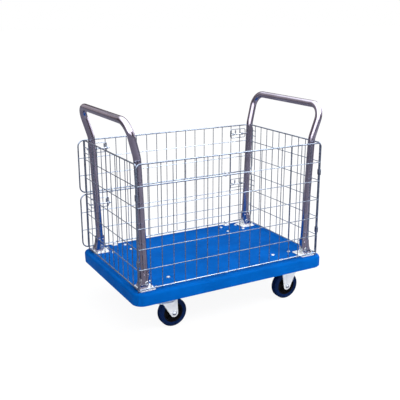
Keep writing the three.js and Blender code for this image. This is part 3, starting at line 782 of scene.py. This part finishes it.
def make_foot(spot, side, depth, pivot, body):
    """A channel round the post whose flanges flare out as they go down to the pivot."""
    mesh = bmesh.new()
    rows = 12
    grid = []
    for k in range(rows + 1):
        t = k / rows
        spread = TUBE_RADIUS + 2 + (FOOT["flare"] - TUBE_RADIUS - 2) * t ** 2.2
        row = []
        for x, y in foot_line(spread):
            shoulder = 3.0 * (x / spread) ** 2 if x > 0 else 0
            top = FOOT["rise"] - shoulder
            z = pivot.z + top - (top - foot_low(x, y)) * t
            row.append(mesh.verts.new((side * (pivot.x + x), depth * pivot.y + y, z)))
        grid.append(row)
    faces = [mesh.faces.new((a[i], a[i + 1], b[i + 1], b[i]))
             for a, b in zip(grid, grid[1:]) for i in range(len(a) - 1)]
    bmesh.ops.recalc_face_normals(mesh, faces=faces)
    shell = solidify(mesh, FOOT["plate"])
    face = TUBE_RADIUS + 0.3 + FOOT["plate"]
    for x, z in FOOT_RIVETS:
        for edge in (-1, 1):
            place = (side * (pivot.x + x), depth * pivot.y + edge * face, pivot.z + z)
            dome_head(shell, place, "y", edge, 3.4, 1.8, 16)
    make_look(f"handle_foot_{spot}", shell, body, "handle_tube_steel")


def solidify(mesh, thickness):
    """Gives an open sheet a thickness, half to each side, with softened edges."""
    mesh.verts.index_update()
    for vert in mesh.verts:
        vert.normal_update()
    offsets = [v.normal * thickness / 2 for v in mesh.verts]
    places = [v.co.copy() for v in mesh.verts]
    faces = [[v.index for v in f.verts] for f in mesh.faces]
    border = [(e.link_loops[0].vert.index, e.link_loops[0].link_loop_next.vert.index)
              for e in mesh.edges if len(e.link_faces) == 1]
    mesh.free()
    out = bmesh.new()
    upper = [out.verts.new(p + offsets[i]) for i, p in enumerate(places)]
    lower = [out.verts.new(p - offsets[i]) for i, p in enumerate(places)]
    for face in faces:
        out.faces.new([upper[i] for i in face])
        out.faces.new([lower[i] for i in reversed(face)])
    for a, b in border:
        out.faces.new((upper[b], upper[a], lower[a], lower[b]))
    bmesh.ops.recalc_face_normals(out, faces=out.faces)
    bevel(out, 0.5, 2, 60)
    return out


# ------------------ brackets
BRACKET_BASE = DECK_TOP + 0.3
BRACKET_PLATE = 3
EAR = {"radius": 10.5, "foot": 1.5, "inner": TUBE_RADIUS - 3.6, "outer": TUBE_RADIUS - 0.6}
STOP_TAB = {"half": 18, "corner": 5, "under_pin": 17}
SCREW_X = (-14, 25)
SCREW_Y = 26
PIN = {"radius": 5, "half": TUBE_RADIUS + 3.6, "head": 8, "dome": 1.8}


def box_middle(low, high):
    """A box's middle and its half sizes, seen from above."""
    return ((low.x + high.x) / 2, (low.y + high.y) / 2), (high.x - low.x) / 2, (high.y - low.y) / 2


def bracket_plate(mesh, low, high, side):
    """A plate with a raised field pressed into it."""
    centre, half_x, half_y = box_middle(low, high)
    top = BRACKET_BASE + BRACKET_PLATE
    prism(mesh, rounded_rectangle(centre, half_x, half_y, 7, 5), BRACKET_BASE, top, soft=0.8)
    swage = rounded_rectangle((centre[0] - side * 2, centre[1]), half_x - 18, half_y - 19, 5, 4)
    prism(mesh, swage, top - 0.5, top + 1.4, soft=1.0, segments=3)


def bracket_ears(mesh, pin):
    """Two upright ears, inside the post, that hold the pin."""
    foot = EAR["radius"] + EAR["foot"]
    outline = [(pin.x - foot, BRACKET_BASE + 1), (pin.x + foot, BRACKET_BASE + 1)]
    outline += arc((pin.x, pin.z), EAR["radius"], 0, 180, 14)
    for edge in (-1, 1):
        faces = sorted((pin.y + edge * EAR["inner"], pin.y + edge * EAR["outer"]))
        prism(mesh, outline, *faces, "xz", soft=0.6)


def stop_tab(mesh, pin, outer, side):
    """An upright tab along the bracket's outer edge."""
    half, corner = STOP_TAB["half"], STOP_TAB["corner"]
    height = pin.z - STOP_TAB["under_pin"]
    outline = [(pin.y - half, BRACKET_BASE), (pin.y + half, BRACKET_BASE)]
    outline += arc((pin.y + half - corner, height), corner, 0, 90, 5)
    outline += arc((pin.y - half + corner, height), corner, 90, 180, 5)
    prism(mesh, outline, *sorted((outer, outer - side * BRACKET_PLATE)), "yz", soft=0.6)


def make_bracket(spot, side):
    pin = node_centre(f"pivot_pin_{spot}")
    low, high = node_box(f"pivot_bracket_{spot}")
    mesh = bmesh.new()
    bracket_plate(mesh, low, high, side)
    bracket_ears(mesh, pin)
    stop_tab(mesh, pin, high.x if side > 0 else low.x, side)
    under_head = BRACKET_BASE + BRACKET_PLATE - 0.2
    for reach in SCREW_X:
        for edge in (-1, 1):
            place = (pin.x + side * reach, pin.y + edge * SCREW_Y, under_head)
            hex_head(mesh, place, "z", 1, 10, 3.0, washer=6.2, turn=17 * edge)
    make_look(f"pivot_bracket_{spot}", mesh, "chassis", "pressed_zinc")

    mesh = bmesh.new()
    half = AXES["y"] * PIN["half"]
    bar(mesh, pin - half, pin + half, PIN["radius"], 16)
    for edge in (-1, 1):
        place = (pin.x, pin.y + edge * (PIN["half"] - 0.4), pin.z)
        dome_head(mesh, place, "y", edge, PIN["head"], PIN["dome"], 24)
    make_look(f"pivot_pin_{spot}", mesh, "chassis", "fastener_zinc")


def make_handles():
    for side_name, side in SIDES.items():
        make_handle(side_name, side)
        for depth_name in DEPTHS:
            make_bracket(f"{depth_name}_{side_name}", side)


# ------------------ cage
FRAME_WIRE = 3.0
MESH_WIRE = 1.7
LAYER = 3.2  # from the plane of the upright wires to that of the cross wires
FRONT_CORNER = 17
END_CORNER = 5
GATE_CORNER = 26
KEEPER_HALF = 12.5
LONG_COLUMNS = 17
SHORT_COLUMNS = 11
CAGE_ROWS = 6
GATE_ROWS = 3
FRONT_BOX = node_box("cage_front_panel")
CAGE_HALF = (FRONT_BOX[1].x - FRONT_BOX[0].x) / 2 - FRAME_WIRE
CAGE_TOP = FRONT_BOX[1].z - FRAME_WIRE
CAGE_BOTTOM = DECK_TOP + 10
POST_FOOT = FRONT_BOX[0].z
END_BOX = node_box("cage_end_panel_right")
END_HALF = END_BOX[1].y - FRAME_WIRE
FRONT_PLANE = FRONT_BOX[1].y - FRAME_WIRE


def panel_place(origin, along, outward):
    """A panel's own places: u along it, w out of its plane to the layer of cross wires, and z up."""
    def place(u, w, z):
        return origin + along * u + outward * w + AXES["z"] * z
    return place


def wire_mesh(mesh, place, verticals, horizontals):
    """Mesh wires with the cross wires welded on one side; a small weld at each crossing."""
    weld = [(0.5, -1.28), (1.5, -0.8), (1.75, 0), (1.5, 0.8), (0.5, 1.28)]
    across = place(0, 1, 0) - place(0, 0, 0)
    for u, low, high in verticals:
        bar(mesh, place(u, 0, low), place(u, 0, high), MESH_WIRE, 10)
    for z, low, high in horizontals:
        bar(mesh, place(low, LAYER, z), place(high, LAYER, z), MESH_WIRE, 10)
        for u, bottom, top in verticals:
            if low <= u <= high and bottom <= z <= top:
                lathe(mesh, weld, place(u, LAYER / 2, z), across, 8)


def frame_loop(mesh, place, half, bottom, top, radius, steps):
    """The thick wire round a panel, with its corners rounded."""
    corners = [(-half, bottom), (half, bottom), (half, top), (-half, top)]
    points = [place(u, 0, z) for u, z in corners]
    sweep(mesh, rounded_path(points, radius, steps, closed=True), FRAME_WIRE, 14, closed=True)


def inner_places(low, high, count):
    return spaced(low, high, count)[1:-1]


def fixed_panel(name, place, half, column_count, corner, extra=()):
    """A panel that stands on the ends of its frame wire, with extra cross wires where asked."""
    mesh = bmesh.new()
    rows = [(z, -half, half) for z in inner_places(CAGE_BOTTOM, CAGE_TOP, CAGE_ROWS)]
    columns = [(u, CAGE_BOTTOM, CAGE_TOP) for u in inner_places(-half, half, column_count)]
    radii = {0: 2.5, 1: 2.5, 2: corner, 3: corner}
    frame_loop(mesh, place, half, CAGE_BOTTOM, CAGE_TOP, radii, 7)
    wire_mesh(mesh, place, columns, rows + list(extra))
    for side in (-1, 1):
        bar(mesh, place(side * half, 0, POST_FOOT), place(side * half, 0, CAGE_BOTTOM), FRAME_WIRE, 14)
    make_look(name, mesh, "chassis", "cage_wire_zinc")


def latch_height(level):
    return node_centre(f"latch_frame_{level}_left").z


def make_fixed_panels():
    place = panel_place(AXES["y"] * FRONT_PLANE, AXES["x"], -AXES["y"])
    fixed_panel("cage_front_panel", place, CAGE_HALF, LONG_COLUMNS, FRONT_CORNER)
    first = END_HALF - 2 * END_HALF / SHORT_COLUMNS
    keepers = [(latch_height(level) + dz, first, END_HALF)
               for level in LEVELS for dz in (-KEEPER_HALF, KEEPER_HALF)]
    for side_name, side in SIDES.items():
        outward = AXES["x"] * side
        place = panel_place(outward * CAGE_HALF, AXES["y"], outward)
        fixed_panel(f"cage_end_panel_{side_name}", place, END_HALF, SHORT_COLUMNS, END_CORNER, keepers)


def make_gate():
    for level in LEVELS[::-1]:
        node = f"gate_{level}_half"
        low, high = node_box(node)
        half = high.x - FRAME_WIRE
        bottom, top = low.z + FRAME_WIRE, high.z - FRAME_WIRE
        place = panel_place(AXES["y"] * (high.y - FRAME_WIRE), AXES["x"], -AXES["y"])
        mesh = bmesh.new()
        frame_loop(mesh, place, half, bottom, top, GATE_CORNER, 6)
        columns = [(u, bottom, top) for u in spaced(-CAGE_HALF, CAGE_HALF, LONG_COLUMNS)]
        rows = [(z, -half, half) for z in inner_places(bottom, top, GATE_ROWS)]
        wire_mesh(mesh, place, columns, rows)
        make_look(node, mesh, f"gate_{level}", "cage_wire_zinc")


# ------------------ clips and hinges
CLIP = {"wall": 1.6, "corner": 5, "rivet": 2.6, "rivet_height": 0.2}
FOLD_RING = {"wire": 1.0, "apart": 2.4}
EYE = {"plate": 2.7, "behind": 7, "radius": 7.9, "stem": 5.4, "rivet_x": 9.5, "rivet_y": 9}


def make_clip(node):
    """A sleeve round the two panels' corner wires, with a flat rivet at the front."""
    low, high = node_box(node)
    centre, half_x, half_y = box_middle(low, high)
    wall, corner = CLIP["wall"], CLIP["corner"]
    outer = rounded_rectangle(centre, half_x, half_y, corner, 6)
    inner = rounded_rectangle(centre, half_x - wall, half_y - wall, corner - wall, 6)
    levels = ((outer, low.z + 0.5), (outer, high.z - 0.5), (inner, high.z), (inner, low.z))
    mesh = bmesh.new()
    loft(mesh, [[(x, y, z) for x, y in line] for line, z in levels], closed=True)
    place = (centre[0], low.y + CLIP["rivet_height"], (low.z + high.z) / 2)
    dome_head(mesh, place, "y", -1, CLIP["rivet"], CLIP["rivet_height"], 14)
    make_look(node, mesh, "chassis", "cage_wire_zinc")


def make_clips():
    for side_name in SIDES:
        for level in LEVELS:
            make_clip(f"corner_clip_{level}_{side_name}")


def make_fold_ring(node):
    """Two turns of thin wire side by side, round both gate frames."""
    low, high = node_box(node)
    centre = (low + high) / 2
    wire = FOLD_RING["wire"]
    radius = (high.z - low.z) / 2 - wire
    mesh = bmesh.new()
    for turn in (-0.5, 0.5):
        middle = centre + AXES["x"] * FOLD_RING["apart"] * turn
        loop = ring_points(middle, AXES["y"], AXES["z"], radius, whole_turn(40))
        sweep(mesh, loop, wire, 10, closed=True)
    make_look(node, mesh, "gate_lower", "pressed_zinc")


def make_hinge_eye(node):
    """A plate on the deck and a stem with an eye round the gate's bottom wire."""
    low, high = node_box(node)
    x = (low.x + high.x) / 2
    wire_y = node_box("gate_lower_half")[1].y - FRAME_WIRE
    back = wire_y + EYE["behind"]
    wire_z = high.z - EYE["radius"] - 0.1
    mesh = bmesh.new()
    plate = rounded_rectangle((x, (low.y + back) / 2), (high.x - low.x) / 2, (back - low.y) / 2, 4, 4)
    prism(mesh, plate, low.z, low.z + EYE["plate"], soft=0.6)
    left = [(4.7, -5.6), (7.4, -5.6), (EYE["radius"], -5.0)]
    lathe(mesh, left + mirrored(left), (x, wire_y, wire_z), "x", 28, closed=True)
    stem = [(wire_y - 4, low.z + 1), (wire_y + 4, low.z + 1)]
    stem += [(wire_y + 3.4, wire_z - 6), (wire_y - 3.4, wire_z - 6)]
    prism(mesh, stem, x - EYE["stem"], x + EYE["stem"], "yz", soft=0.5)
    for dx in (-EYE["rivet_x"], EYE["rivet_x"]):
        place = (x + dx, wire_y - EYE["rivet_y"], low.z + EYE["plate"] - 0.1)
        dome_head(mesh, place, "z", 1, 3.4, 2.0, 16)
    make_look(node, mesh, "chassis", "pressed_zinc")


def make_gate_hinges():
    for side_name in SIDES:
        make_fold_ring(f"gate_fold_ring_{side_name}")
        make_hinge_eye(f"gate_hinge_eye_{side_name}")


# ------------------ latches
LATCH = {"half": 21, "corner": 9, "rod": 3.4, "knob": 3, "knob_x": 338, "neck": 3}
LATCH_GUIDES = (325, 375)


def make_latch_frame(node, level, side, rod_y):
    """A wire loop on the gate with two guide rings for the bolt, each on a neck and an upright wire."""
    low, high = node_box(node)
    z = (low.z + high.z) / 2
    loop_y = node_box(f"gate_{level}_half")[1].y - FRAME_WIRE - LAYER
    inner, outer = sorted((abs(low.x), abs(high.x)))
    near, far, half = inner + MESH_WIRE, outer - MESH_WIRE, LATCH["half"]
    corners = [Vector((side * x, loop_y, z + dz))
               for x, dz in ((near, -half), (far, -half), (far, half), (near, half))]
    mesh = bmesh.new()
    loop = rounded_path(corners, LATCH["corner"], 6, closed=True)
    sweep(mesh, loop, MESH_WIRE, 10, closed=True)
    left = [(3.8, -4), (4.6, -4), (5.0, -3.6)]
    neck_y, neck = rod_y + 4.3, LATCH["neck"]
    for x in (side * guide for guide in LATCH_GUIDES):
        bar(mesh, (x, loop_y, z - half), (x, loop_y, z + half), MESH_WIRE, 10)
        lathe(mesh, left + mirrored(left), (x, rod_y, z), "x", 24, closed=True)
        outline = [(neck_y, z - neck), (loop_y + 1, z - neck), (loop_y + 1, z + neck), (neck_y, z + neck)]
        prism(mesh, outline, x - neck, x + neck, "yz", soft=0.5)
    make_look(node, mesh, f"gate_{level}", "cage_wire_zinc")


def make_latch_bolt(node, side, z):
    """A round rod with an upright knob to slide it by."""
    low, high = node_box(node)
    y = (low.y + high.y) / 2
    tail, tip = sorted((abs(low.x), abs(high.x)))
    mesh = bmesh.new()
    bar(mesh, (side * (tail + 1), y, z), (side * tip, y, z), LATCH["rod"], 16)
    knob = [Vector((side * LATCH["knob_x"], y, height)) for height in (z, high.z - 2, high.z)]
    sweep(mesh, knob, LATCH["knob"], 14)
    make_look(node, mesh, node, "fastener_zinc")


def make_latches():
    for side_name, side in SIDES.items():
        for level in LEVELS:
            frame_node = f"latch_frame_{level}_{side_name}"
            bolt_node = f"latch_bolt_{level}_{side_name}"
            make_latch_frame(frame_node, level, side, node_centre(bolt_node).y)
            make_latch_bolt(bolt_node, side, node_centre(frame_node).z)


# ------------------ floor and light
FLOOR_REACH = 40.0
FLOOR_SHADED = 0.10
FLOOR_GLOW = 0.93


def floor_white():
    """White to the eye, pale where it lights the cart, and grey where the cart mirrors it."""
    m = Nodes("floor_white")
    sight = m.add("ShaderNodeLightPath").outputs
    pale = m.ramp(m.noise(3, 3), (0.3, (0.80, 0.80, 0.81)), (0.7, (0.83, 0.83, 0.84)))
    in_mirrors = m.blend(sight["Is Glossy Ray"], pale, (0.25, 0.245, 0.285))
    colour = m.blend(sight["Is Camera Ray"], in_mirrors, (FLOOR_SHADED, FLOOR_SHADED, FLOOR_SHADED))
    rough = m.ramp(m.noise(20, 3), (0.3, 0.85), (0.7, 0.95))
    m.shader.inputs["Emission Color"].default_value = (1, 1, 1, 1)
    m.join(m.times(sight["Is Camera Ray"], FLOOR_GLOW), m.shader.inputs["Emission Strength"])
    normal = m.bump(m.noise(300, 2), 0.05, 0.0005)
    return m.finish(colour, rough, normal, Specular_IOR_Level=0.0)


def make_floor():
    mesh = bmesh.new()
    for x, y in ((-1, -1), (1, -1), (1, 1), (-1, 1)):
        mesh.verts.new((x * FLOOR_REACH, y * FLOOR_REACH, 0))
    mesh.faces.new(mesh.verts[:])
    data = bpy.data.meshes.new("floor")
    mesh.to_mesh(data)
    mesh.free()
    data.materials.append(floor_white())
    floor = new_object("floor", data)


def area_light(name, place, target, size, power, colour):
    """A rectangular light, sizes in metres and power in watts, turned toward a target."""
    data = bpy.data.lights.new(name, "AREA")
    data.shape = "RECTANGLE"
    data.size, data.size_y = size
    data.energy = power
    data.color = colour
    light = new_object(name, data)
    light.location = place
    light.rotation_euler = (Vector(target) - Vector(place)).to_track_quat("-Z", "Y").to_euler()


UP = (0, 0, 1)
BLACK = (0.0, 0.0, 0.0)
WHITE = (1.0, 1.0, 1.0)
# The room from the floor's level and below (0) to nearly straight above (1): first the light that
# it gives to the cart, then what the cart's metal mirrors.
ROOM_LIGHT = (
    (0.0, (0.09, 0.088, 0.10)),
    (0.3, (0.14, 0.137, 0.15)),
    (0.6, (0.58, 0.59, 0.61)),
    (1.0, (1.25, 1.26, 1.28)),
)
ROOM_MIRRORED = (
    (0.0, (0.10, 0.075, 0.080)),
    (0.35, (0.13, 0.10, 0.11)),
    (0.55, (0.50, 0.49, 0.53)),
    (0.8, (2.9, 2.95, 3.0)),
)


class World(NodeTree):
    """The studio's walls, as a node tree that reads the direction looked in."""

    def __init__(self):
        self.world = bpy.data.worlds.new("studio")
        self.world.use_nodes = True
        super().__init__(self.world.node_tree)
        self.tree.nodes.clear()
        self.direction = self.add("ShaderNodeTexCoord").outputs["Generated"]

    def toward(self, direction, low, high, stops):
        """A colour that changes with how nearly the direction looked in is the one given."""
        along = self.add("ShaderNodeVectorMath", operation="DOT_PRODUCT")
        along.inputs[1].default_value = Vector(direction).normalized()
        self.join(self.direction, along.inputs[0])
        spread = self.add("ShaderNodeMapRange")
        self.join(along.outputs["Value"], spread.inputs["Value"])
        spread.inputs["From Min"].default_value = low
        spread.inputs["From Max"].default_value = high
        return self.ramp(spread.outputs[0], *stops)

    def room(self, stops):
        return self.toward(UP, -0.1, 0.9, stops)

    def glow(self, direction, low, high, colour):
        """A soft patch of light on the walls."""
        return self.toward(direction, low, high, ((0.0, BLACK), (1.0, colour)))

    def total(self, first, second):
        both = self.add("ShaderNodeMix", data_type="RGBA", blend_type="ADD")
        both.inputs[0].default_value = 1.0
        self.join(first, both.inputs[6])
        self.join(second, both.inputs[7])
        return both.outputs[2]

    def either(self, switch, first, second):
        node = self.add("ShaderNodeMixShader")
        self.join(switch, node.inputs[0])
        self.join(first, node.inputs[1])
        self.join(second, node.inputs[2])
        return node.outputs[0]

    def background(self, colour):
        node = self.add("ShaderNodeBackground")
        if isinstance(colour, tuple):
            node.inputs["Color"].default_value = (*colour, 1)
        else:
            self.join(colour, node.inputs["Color"])
        return node.outputs[0]


def make_world():
    """Plain white to the eye; soft light from above and the right; cards for the metal to mirror."""
    w = World()
    soft = w.total(w.room(ROOM_LIGHT), w.glow((0.75, -0.62, 0.2), 0.1, 0.95, (0.40, 0.40, 0.43)))
    cards = w.total(w.room(ROOM_MIRRORED), w.glow((-0.50, -0.72, 0.42), 0.55, 0.90, (2.6, 2.6, 2.7)))
    cards = w.total(cards, w.glow((1.0, 0.10, 0.14), 0.80, 0.97, (1.1, 1.05, 1.2)))
    sight = w.add("ShaderNodeLightPath").outputs
    lit = w.either(sight["Is Glossy Ray"], w.background(soft), w.background(cards))
    seen = w.either(sight["Is Camera Ray"], lit, w.background(WHITE))
    w.join(seen, w.add("ShaderNodeOutputWorld").inputs["Surface"])
    bpy.context.scene.world = w.world


def make_lights():
    middle = (0, 0, 0.4)
    right_grip = (0.44, 0, 0.85)
    area_light("overhead", (0.2, -0.2, 3.4), (0, 0, 0), (2.6, 2.6), 17, WHITE)
    area_light("front_pool", (1.5, -1.9, 2.4), (1.4, -1.5, 0), (1.2, 1.2), 62, WHITE)
    area_light("left_strip", (-3.0, -2.2, 1.3), middle, (0.25, 1.8), 5, (0.92, 0.95, 1.0))
    area_light("grip_card", (-0.95, 2.5, 1.42), right_grip, (1.3, 1.0), 1.6, (1.0, 0.93, 0.95))
    area_light("right_back", (3.2, 1.4, 1.5), middle, (0.8, 1.6), 14, (0.92, 0.94, 1.0))


bpy.context.scene.view_settings.view_transform = "Standard"
make_camera()
make_floor()
make_world()
make_lights()
make_deck()
make_casters()
make_handles()
make_fixed_panels()
make_gate()
make_clips()
make_gate_hinges()
make_latches()
